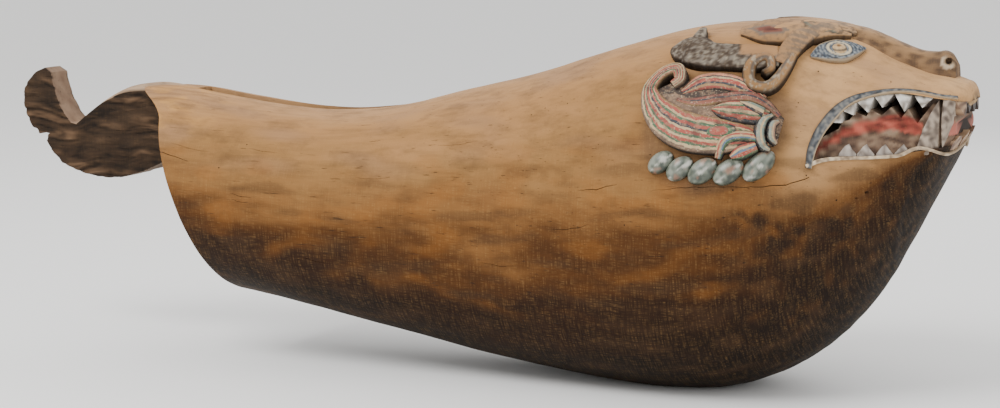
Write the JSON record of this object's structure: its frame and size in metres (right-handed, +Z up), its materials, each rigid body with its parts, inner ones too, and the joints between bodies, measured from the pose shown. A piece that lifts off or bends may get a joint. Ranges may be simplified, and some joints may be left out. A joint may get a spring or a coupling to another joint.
{
  "type": "slit drum",
  "caption": "Hollowed log drum with a long slit along its back, a curled tail and a carved beast's head with fangs; it stands on its belly.",
  "frame": {"origin": "bottom centre of the drum's box, on the surface it stands on, under the middle of its length", "axes": "+X along the log towards the head, +Z up, Y across"},
  "size_m": [1.805, 0.542, 0.6302],
  "materials": {
    "carved_wood": "matte, aged, worn, with faded paint on the head"
  },
  "bodies": {
    "root": {"slit_drum": "carved_wood"}
  },
  "joints": []
}
